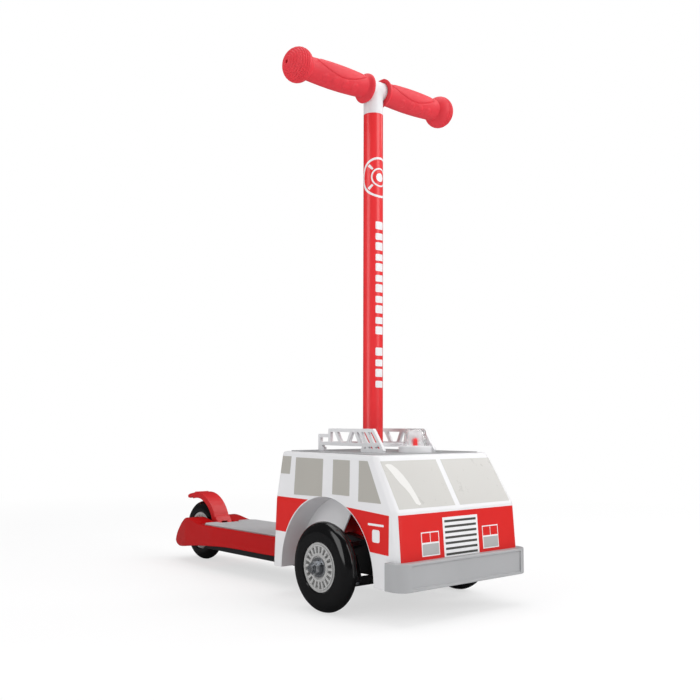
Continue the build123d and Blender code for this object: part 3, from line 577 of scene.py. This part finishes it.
def film(name, patches, lay, material, body, thick=0.1):
    """One printed layer: flat patches laid on a surface by a function of (u, v, lift)."""
    bm = bmesh.new()
    for verts, faces in patches:
        used = sorted({i for f in faces for i in f})
        tops = {i: bm.verts.new(lay(verts[i].x, verts[i].y, thick)) for i in used}
        lows = {i: bm.verts.new(lay(verts[i].x, verts[i].y, 0.0)) for i in used}
        sides = set()
        for f in faces:
            bm.faces.new([tops[i] for i in f])
            bm.faces.new([lows[i] for i in reversed(f)])
            sides.update(zip(f, f[1:] + f[:1]))
        for a, b in sorted(sides):
            if (b, a) not in sides:
                bm.faces.new((tops[a], lows[a], lows[b], tops[b]))
    mesh = closed_mesh(bm, name)
    settle(mesh, 40.0)
    return place_piece(name, mesh, material, body, weighted=False)


def round_loop(u, v, r, steps=72):
    """A circle, anticlockwise."""
    turns = [2 * math.pi * i / steps for i in range(steps)]
    return [(u + r * math.cos(turn), v + r * math.sin(turn)) for turn in turns]


def box_loop(u0, u1, v0, v1, r=0.0):
    """Rectangle with rounded corners, anticlockwise."""
    if r <= 0:
        return [(u0, v0), (u1, v0), (u1, v1), (u0, v1)]
    loop, steps = [], 4
    for cu, cv, start in (
        (u1 - r, v0 + r, -90), (u1 - r, v1 - r, 0), (u0 + r, v1 - r, 90), (u0 + r, v0 + r, 180),
    ):
        for k in range(steps + 1):
            turn = math.radians(start + 90 * k / steps)
            loop.append((cu + r * math.cos(turn), cv + r * math.sin(turn)))
    return loop


def on_column(u, z, lift):
    """Wraps u round the tube, from its front, a hair clear of the paint."""
    r = column_radius + print_gap + lift
    turn = u / column_radius
    return (column_axis.x + r * math.sin(turn) * mm, column_axis.y - r * math.cos(turn) * mm, z * mm)


# The mark: two rings, a dot and four spokes, each given by its radii.
mark_z = 529.0
patches = [
    filled(round_loop(0, mark_z, 26.5), [round_loop(0, mark_z, 23.6)], print_step),
    filled(round_loop(0, mark_z, 12.4, 48), [round_loop(0, mark_z, 10.4, 48)], print_step),
    filled(round_loop(0, mark_z, 5.6, 36), [], print_step),
]
spoke = [(14.2, -1.3), (22.0, -1.9), (22.0, 1.9), (14.2, 1.3)]
for k in range(4):
    turn = math.radians(45 + 90 * k)
    c, s = math.cos(turn), math.sin(turn)
    patches.append(filled([(a * c - b * s, mark_z + a * s + b * c) for a, b in spoke], [], print_step))
# The bars: short and tall by turns, with one left out.
bar_low, bar_top, bar_pitch, bar_half, bar_round = 258.5, 467.0, 13.5, 6.3, 1.4
short_bar, tall_bar, left_out = 8.6, 10.2, 4
z, index = bar_low, 0
while z < bar_top:
    if index != left_out:
        tall = tall_bar if index % 2 else short_bar
        patches.append(filled(box_loop(-bar_half, bar_half, z, z + tall, bar_round), [], print_step))
    z += bar_pitch
    index += 1
film("column_print", patches, on_column, print_white, "scooter_frame", print_thick)

# --------------------------------------------------------------- the handlebar
# A white moulded tee is pressed over the tube's top and holds a plated steel
# cross bar. The bar does not turn: the rider leans to steer.
shell_white = finish_of("shell_white", (0.80, 0.80, 0.815), 0.36, peel=0.004, grain=0.004, mottle=0.01)
place_piece(
    "tee_moulding", rounded("handlebar_tee", 0.6), shell_white, "scooter_frame",
    ["handlebar_tee"],
)

# ------------------------------------------------------------------- the grips
# Soft red rubber moulded in one piece: a collar cut to the tee, a palm pad with
# a crease round it, finger bumps below, and a ribbed ball at the end.
grip_red = finish_of(
    "grip_red_rubber", (0.78, 0.028, 0.045), 0.52, grain=0.012, grain_scale=2400.0, mottle=0.04, scuff=0.12,
)
bar_middle = (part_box("handlebar_tube")[0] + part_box("handlebar_tube")[1]) / 2


def ease(a, b, t):
    """Rises smoothly from 0 at a to 1 at b."""
    t = min(1.0, max(0.0, (t - a) / (b - a)))
    return t * t * (3 - 2 * t)


# Sizes in mm along the bar from its middle, radii from its axis, turns in degrees.
ball_x, ball_r, ball_half, neck_r = 124.8, 21.7, 17.6, 14.4
neck_x = ball_x - ball_half * math.sqrt(1.0 - (neck_r / ball_r) ** 2)
collar_r, collar_end, palm_start, swell_start, swell_r = 18.2, 14.5, 21.0, 20.0, 1.7
pad_start, pad_end, pad_half, pad_turn, pad_rise, crease_deep = 23.0, 104.0, 54.0, 38.0, 0.5, 0.75
bump_start, bump_pitch, bump_reach, front_bump, back_bump = 42.0, 16.0, 6.8, 1.2, 0.8
rib_count, rib_rise, ribs_start, ribs_full = 13.0, 0.42, 0.26, 0.34


def away_from(turn, middle):
    """Degrees from one turn to another, the shorter way round."""
    return (turn - middle + 180.0) % 360.0 - 180.0


def grip_radius(x, turn):
    """Radius of the palm part in mm at x along it; turn 0 is its front, 90 its top."""
    swell = math.sin(math.pi * min(1.0, max(0.0, (x - swell_start) / (neck_x - swell_start))))
    r = neck_r + swell_r * swell
    under = 0.5 - 0.5 * math.sin(math.radians(turn))
    r += (collar_r + 2.2 * under - neck_r) * (1.0 - ease(collar_end, palm_start, x))
    t = (x - pad_start) / (pad_end - pad_start)
    if 0.0 < t < 1.0:
        half = pad_half * math.sin(math.pi * t) ** 0.75
        away = abs(away_from(turn, pad_turn))
        r += pad_rise * (1.0 - ease(half - 3.0, half + 1.0, away))
        r -= crease_deep * math.exp(-((away - half - 2.5) / 2.4) ** 2)
    for k in range(4):
        step = (x - bump_start - bump_pitch * k) / bump_reach
        ring = math.hypot(step, away_from(turn, -45.0) / 26.0)
        r += front_bump * (1.0 - ease(0.5, 1.0, ring)) * ease(-1.0, 0.3, step)
        ring = math.hypot(step, away_from(turn, 130.0) / 27.0)
        r += back_bump * (1.0 - ease(0.4, 1.0, ring))
    return r


def ball_point(along):
    """Place (x, radius) on the ribbed ball, from its neck at 0 to its end at 1."""
    neck_turn = math.pi - math.asin(neck_r / ball_r)
    turn = neck_turn + (math.radians(7.0) - neck_turn) * along
    x, r = ball_x + ball_half * math.cos(turn), ball_r * math.sin(turn)
    out_x, out_r = math.cos(turn) / ball_half, math.sin(turn) / ball_r
    size = math.hypot(out_x, out_r)
    wave = rib_rise * math.cos(2 * math.pi * rib_count * along)
    rib = wave * ease(ribs_start, ribs_full, along) * (1.0 - ease(0.93, 0.99, along))
    rib -= 0.3 * ease(ribs_start, ribs_full, along)
    return x + rib * out_x / size, r + rib * out_r / size


def grip_mesh(name, side):
    """The whole grip as one closed skin, from the bore's mouth to the blind end hole."""
    around, palm, ball = 160, 170, 210
    tee_clear_r, mouth_r, least_start, mouth_lip = 14.2, 19.0, 12.8, 0.5
    bm = bmesh.new()
    starts = []
    for k in range(around):
        reach = tee_clear_r**2 - (mouth_r * math.cos(2 * math.pi * k / around)) ** 2
        starts.append(max(least_start, math.sqrt(reach) if reach > 0 else 0.0))
    rows = []

    def add_row(place):
        """One ring of points, each at the (x, radius) that place gives for its turn."""
        row = []
        for k in range(around):
            x, r = place(k)
            turn = 2 * math.pi * k / around
            row.append(bm.verts.new((side * x * mm, -r * math.cos(turn) * mm, r * math.sin(turn) * mm)))
        rows.append(row)

    for depth, r in ((10.0, 12.9), (2.6, 12.9), (0.5, 13.4)):
        add_row(lambda k: (starts[k] + depth, r))
    add_row(lambda k: (starts[k], grip_radius(starts[k], 360.0 * k / around) - 0.9))
    for i in range(palm + 1):
        t = i / palm
        add_row(lambda k: (
            starts[k] + mouth_lip + (neck_x - starts[k] - mouth_lip) * t,
            grip_radius(
                starts[k] + mouth_lip + (neck_x - starts[k] - mouth_lip) * t, 360.0 * k / around,
            ),
        ))
    for i in range(1, ball + 1):
        add_row(lambda k: ball_point(i / ball))
    for x, r in ((142.0, 2.3), (132.0, 2.2), (132.0, 0.05)):
        add_row(lambda k: (x, r))
    skin_between(bm, rows)
    mesh = closed_mesh(bm, name)
    mesh.transform(Matrix.Translation(bar_middle))
    settle(mesh, 60.0)
    return mesh


for side, word in ((-1, "right"), (1, "left")):
    place_piece(
        "soft_grip_" + word, grip_mesh("soft_grip_" + word, side), grip_red,
        "scooter_frame", ["grip_" + word], weighted=False,
    )

# -------------------------------------------------------------- the fire engine
# One thin-walled white moulding, open below, with a lined arch over each front
# wheel. A bracket at the front and one at the back screw it to the board.
shell_mesh = rounded("body_shell", 0.5)
place_piece("engine_body", shell_mesh, shell_white, "scooter_frame", ["body_shell"])
bm = bmesh.new()
bm.from_mesh(shell_mesh)
shell_tree = BVHTree.FromBMesh(bm)
bm.free()

# ------------------------------------------------------------------ the prints
# Printed film on the body: red panels, grey windows and the grille, each cut to
# its outline. Places are in mm behind the front axle and above the ground.
axle_y = wheel_middle("front_right_tyre").y / mm
film_gap, second_layer, third_layer = 0.03, 0.1, 0.2
panel_step, window_step, badge_step = 1.6, 2.0, 1.5
print_red = finish_of("print_red", (0.72, 0.014, 0.012), 0.3, peel=0.002, mottle=0.012, scuff=0.03)
side_glass = finish_of("print_side_glass", (0.45, 0.435, 0.40), 0.3, peel=0.002, mottle=0.012, scuff=0.03)
front_glass = finish_of("print_front_glass", (0.58, 0.57, 0.545), 0.28, peel=0.002, mottle=0.012, scuff=0.03)
glare = finish_of("print_glare", (0.78, 0.77, 0.75), 0.28, peel=0.002, mottle=0.012, scuff=0.03)
grille_dark = finish_of("print_grille_dark", (0.07, 0.07, 0.065), 0.3, mottle=0.05)
lamp_grey = finish_of("print_lamp_grey", (0.45, 0.45, 0.45), 0.28, mottle=0.04)


def on_side(side, layer=0.0):
    """Lays a point (y behind the axle, z) on a side wall."""
    def lay(y, z, lift):
        start = Vector((side * 0.3, (axle_y + y) * mm, z * mm))
        hit, normal, _, _ = shell_tree.ray_cast(start, Vector((-side, 0, 0)))
        return hit + normal * (film_gap + layer + lift) * mm
    return lay


def on_front(layer=0.0):
    """Lays a point (x, z) on the front, windscreen or bonnet."""
    def lay(x, z, lift):
        start = Vector((x * mm, -0.6, z * mm))
        hit, normal, _, _ = shell_tree.ray_cast(start, Vector((0, 1, 0)))
        return hit + normal * (film_gap + layer + lift) * mm
    return lay


corner_r, rear_flat = 8.0, 81.0
corner_arc = corner_r * math.pi / 2
rear_y, rear_lean, rear_foot_z, rear_rise = 131.5, 4.5, 35.0, 83.0


def rear_corner_y(z):
    """Middle of the rear corner's round, behind the axle, at a height."""
    rear = rear_y - rear_lean * (z - rear_foot_z) / rear_rise
    return rear - corner_r


def on_back(s, z, lift):
    """Lays a point on the band that runs round the back; s is 0 at the middle of the rear wall."""
    side = -1 if s < 0 else 1
    centre_y = axle_y + rear_corner_y(z)
    run = abs(s) - rear_flat
    if run <= 0:
        start, aim = (s, centre_y + 60.0), (0.0, -1.0)
    elif run <= corner_arc:
        turn = run / corner_r
        out_x, out_y = side * math.sin(turn), math.cos(turn)
        start, aim = (side * rear_flat + 60 * out_x, centre_y + 60 * out_y), (-out_x, -out_y)
    else:
        start, aim = (side * 200.0, centre_y - (run - corner_arc)), (-side, 0.0)
    hit, normal, _, _ = shell_tree.ray_cast(
        Vector((start[0] * mm, start[1] * mm, z * mm)), Vector((aim[0], aim[1], 0.0))
    )
    return hit + normal * (film_gap + lift) * mm


arch_y, arch_z, arch_edge = 21.0, 38.0, 90.3
stripe_low, stripe_high = 79.0, 121.7


def arch_points(z0, z1, back, steps=18):
    """Points along the arch's edge between two heights, behind or ahead of its middle."""
    a0 = math.asin((z0 - arch_z) / arch_edge)
    a1 = math.asin((z1 - arch_z) / arch_edge)
    turns = [a0 + (a1 - a0) * i / steps for i in range(steps + 1)]
    return [
        (arch_y + back * arch_edge * math.cos(turn), arch_z + arch_edge * math.sin(turn))
        for turn in turns
    ]


right_end = [
    (-(rear_flat + corner_arc + rear_corner_y(z) - y), z)
    for y, z in arch_points(stripe_low, stripe_high, 1)
]
rear_band = [(-s, z) for s, z in right_end] + list(reversed(right_end))
front_panel = arch_points(73.0, 118.6, -1) + [(-94.5, 114.6), (-93.6, 72.0)]
side_windows = [
    box_loop(98.8, 120.5, 150.2, 172.0, 0.6),
    [(85.6, 125.9), (88.6, 171.2), (30.5, 171.2), (27.6, 127.0)],
    [(8.0, 131.0), (10.5, 171.2), (-21.9, 171.2), (-24.6, 131.0)],
    [(-41.0, 126.2), (-38.9, 171.6), (-54.6, 171.6), (-81.0, 126.4)],
]
for side, word in ((-1, "right"), (1, "left")):
    film(
        "red_panels_" + word, [filled(front_panel)], on_side(side), print_red, "scooter_frame",
    )
    windows = [filled(window, [], window_step) for window in side_windows]
    film("side_windows_" + word, windows, on_side(side), side_glass, "scooter_frame")
    badge = [
        filled(box_loop(-79.0, -66.4, 84.0, 97.8, 2.6), [], badge_step),
        filled(box_loop(-86.0, -59.0, 101.8, 104.2, 1.0), [], badge_step),
    ]
    film(
        "side_badge_" + word, badge, on_side(side, second_layer), print_white, "scooter_frame",
    )
film("rear_red_band", [filled(rear_band, [], panel_step)], on_back, print_red, "scooter_frame")

front_red = [(-96.4, 65.6), (96.4, 65.6), (96.4, 115.3), (-96.4, 115.3)]
film(
    "front_red_panel", [filled(front_red, [], panel_step)], on_front(), print_red, "scooter_frame",
)
panes = [
    [(-93.4, 121.3), (-4.2, 121.3), (-3.6, 171.8), (-91.6, 171.8)],
    [(3.8, 121.3), (92.6, 121.3), (91.6, 171.8), (4.2, 171.8)],
]
glass = [filled(pane, [], panel_step) for pane in panes]
film("windscreen", glass, on_front(), front_glass, "scooter_frame")
swoosh = [
    (-87.6, 168.0), (-83.0, 168.8), (-77.4, 168.0), (-71.4, 163.0), (-66.8, 156.5), (-64.0, 151.0),
    (-61.8, 146.0), (-59.4, 136.9), (-57.6, 125.4), (-60.4, 124.0), (-64.8, 125.7), (-68.4, 137.2),
    (-71.8, 142.8), (-75.8, 147.5), (-79.4, 153.6), (-82.6, 160.0), (-85.6, 165.0),
]
film(
    "windscreen_glare", [filled(list(reversed(swoosh)), [], window_step)], on_front(second_layer), glare,
    "scooter_frame",
)
frame_white = [filled(box_loop(-29.4, 29.4, 65.9, 109.2))]
lamps_red, lamps_grey = [], []
for side in (-1, 1):
    u0, u1 = sorted((side * 36.5, side * 64.6))
    frame_white.append(filled(box_loop(u0, u1, 69.4, 95.4)))
    mid = (u0 + u1) / 2
    for a, b in ((u0 + 1.1, mid - 0.5), (mid + 0.5, u1 - 1.1)):
        lamps_red.append(filled(box_loop(a, b, 84.2, 94.2)))
    lamps_grey.append(filled(box_loop(u0 + 1.4, u1 - 1.1, 70.6, 82.4)))
film("front_frames", frame_white, on_front(second_layer), print_white, "scooter_frame")
film("lamp_reds", lamps_red, on_front(third_layer), print_red, "scooter_frame")
film("lamp_greys", lamps_grey, on_front(third_layer), lamp_grey, "scooter_frame")
slat_low, slat_pitch, slat_tall, slat_half = 67.4, 6.02, 2.5, 26.4
bars = []
for k in range(7):
    z = slat_low + slat_pitch * k
    bars.append(filled(box_loop(-slat_half, slat_half, z, z + slat_tall)))
film("grille_bars", bars, on_front(third_layer), grille_dark, "scooter_frame")

# ------------------------------------------------- the bumper, roof and ladder
# The bumper and the roof panel are grey mouldings fixed to the body. The ladder
# is one white moulding whose feet stand on the roof. A small white slider under
# the roof works the light.
trim_grey = finish_of(
    "trim_grey", (0.41, 0.415, 0.425), 0.4, peel=0.01, grain=0.008, grain_scale=1800.0, mottle=0.03,
)
roof_grey = finish_of("roof_grey", (0.38, 0.385, 0.395), 0.42, grain=0.01, grain_scale=1800.0, mottle=0.03)
place_piece("front_bumper", rounded("bumper", 0.9), trim_grey, "scooter_frame", ["bumper"])
place_piece(
    "roof_skin", rounded("roof_panel", 0.3), roof_grey, "scooter_frame", ["roof_panel"],
)
place_piece(
    "ladder", rounded("roof_ladder", 0.45, steps=2, angle=40.0, fine=True), shell_white, "scooter_frame",
    ["roof_ladder"],
)
place_piece(
    "slider_knob", rounded("switch_slider", 0.3), shell_white, "light_switch",
    ["switch_slider"],
)

# ------------------------------------------------------------------ the beacon
# A white base, a clear moulded dome waved by flutes, and a small red lamp on a
# circuit board. The cells that feed it lie in the holder under the roof.
place_piece(
    "beacon_foot", rounded("beacon_base", 0.3), shell_white, "scooter_frame",
    ["beacon_base"],
)
lamp_red = finish_of("lamp_red", (0.85, 0.02, 0.02), 0.2, mottle=0.03)
board_green = finish_of("board_green", (0.02, 0.2, 0.06), 0.4, mottle=0.1)
cell_wrap = finish_of("cell_wrap", (0.1, 0.12, 0.3), 0.3, mottle=0.1)
coat_node("beacon_lamp", lamp_red)
coat_node("beacon_board", board_green)
coat_node("battery_cells", cell_wrap)
clear = bpy.data.materials.new("clear_dome")
clear.use_nodes = True
skin = clear.node_tree.nodes["Principled BSDF"]
skin.inputs["Base Color"].default_value = (0.93, 0.94, 0.95, 1.0)
skin.inputs["Roughness"].default_value = 0.08
skin.inputs["Transmission Weight"].default_value = 1.0
skin.inputs["IOR"].default_value = 1.3
tree = clear.node_tree
through = node_of(tree, "ShaderNodeBsdfTransparent")
thin = node_of(tree, "ShaderNodeMixShader")
thin.inputs["Fac"].default_value = 0.5
wire(
    tree, (through.outputs[0], thin.inputs[1]), (skin.outputs[0], thin.inputs[2]),
    (thin.outputs[0], tree.nodes["Material Output"].inputs["Surface"]),
)
place = node_of(tree, "ShaderNodeTexCoord")
rub = node_of(tree, "ShaderNodeTexNoise")
rub.inputs["Scale"].default_value = 160.0
gloss = node_of(tree, "ShaderNodeMapRange")
gloss.inputs["To Min"].default_value = 0.05
gloss.inputs["To Max"].default_value = 0.14
wire(
    tree, (place.outputs["Object"], rub.inputs["Vector"]), (rub.outputs["Fac"], gloss.inputs["Value"]),
    (gloss.outputs["Result"], skin.inputs["Roughness"]),
)
low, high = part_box("beacon_dome")
dome_low, dome_tall = low.z / mm, (high.z - low.z) / mm
flutes, dome_around = 16, 128


def dome_row(bm, level, radius, flute):
    """One ring of the dome in mm above its foot, waved by sixteen flutes."""
    row = []
    for i in range(dome_around):
        turn = 2 * math.pi * i / dome_around
        r = radius - flute * (0.5 + 0.5 * math.cos(flutes * turn)) ** 2
        row.append(bm.verts.new((
            (low.x + high.x) / 2 + r * mm * math.cos(turn),
            (low.y + high.y) / 2 + r * mm * math.sin(turn),
            (dome_low + level) * mm,
        )))
    return row


# Each ring's level, radius and flute depth: up the outside, then down the inside.
skin_rows = [(0.0, 14.7, 0.0), (1.4, 14.6, 0.0), (2.0, 14.4, 0.2), (3.0, 14.3, 0.5)]
skin_rows += [(3.0 + 12.0 * i / 6, 14.3 - 1.2 * i / 6, 0.5) for i in range(1, 7)]
skin_rows += [
    (
        15.0 + (dome_tall - 15.0) * math.sin(math.radians(a)),
        13.1 - 3.6 * (1 - math.cos(math.radians(a))), 0.5 * math.cos(math.radians(a)),
    )
    for a in (20, 40, 60, 75, 90)
]
skin_rows += [
    (dome_tall, 6.0, 0.0), (dome_tall, 0.02, 0.0), (dome_tall - 1.4, 0.02, 0.0),
    (dome_tall - 1.4, 8.6, 0.0), (dome_tall - 3.2, 11.2, 0.0), (0.0, 13.2, 0.0),
]
bm = bmesh.new()
rows = [dome_row(bm, *row) for row in skin_rows]
skin_between(bm, rows + [rows[0]])
mesh = closed_mesh(bm, "beacon_lens")
settle(mesh, 50.0)
place_piece("beacon_lens", mesh, clear, "scooter_frame", ["beacon_dome"], weighted=False)
